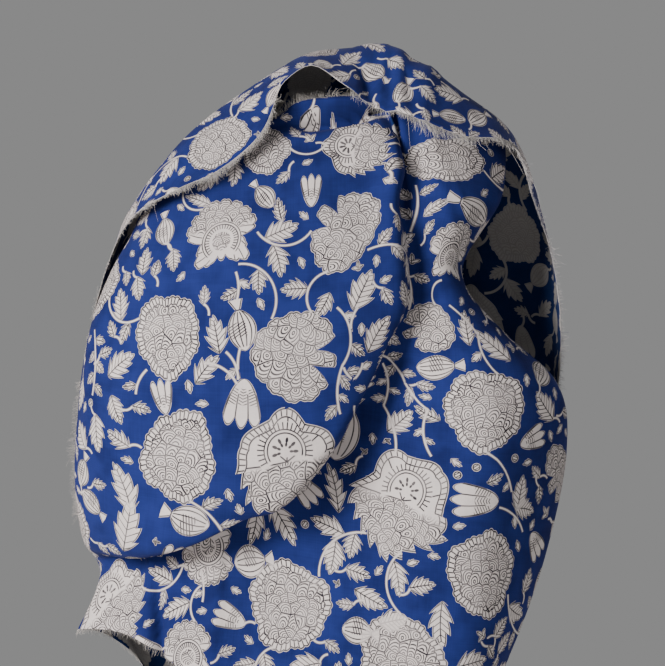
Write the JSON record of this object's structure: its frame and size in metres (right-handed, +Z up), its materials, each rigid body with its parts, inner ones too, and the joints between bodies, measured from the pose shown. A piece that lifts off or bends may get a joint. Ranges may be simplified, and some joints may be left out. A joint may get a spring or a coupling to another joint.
{
  "type": "block printed cotton fabric",
  "caption": "Cut length of block printed cotton cloth hung from its crown in soft open folds, with raw frayed edges all round.",
  "frame": {"origin": "highest point of the crown, on the printed face, where the cloth is held up", "axes": "+Z up along the longest extent, -Y towards the viewer of the picture, +X to the viewer's right"},
  "size_m": [0.44, 0.276, 0.6922],
  "materials": {
    "indigo_printed_cotton": "matt plain weave cotton, royal blue ground with an off-white flower trellis and fine dark outlines"
  },
  "bodies": {
    "root": {"cloth": "indigo_printed_cotton"}
  },
  "joints": []
}
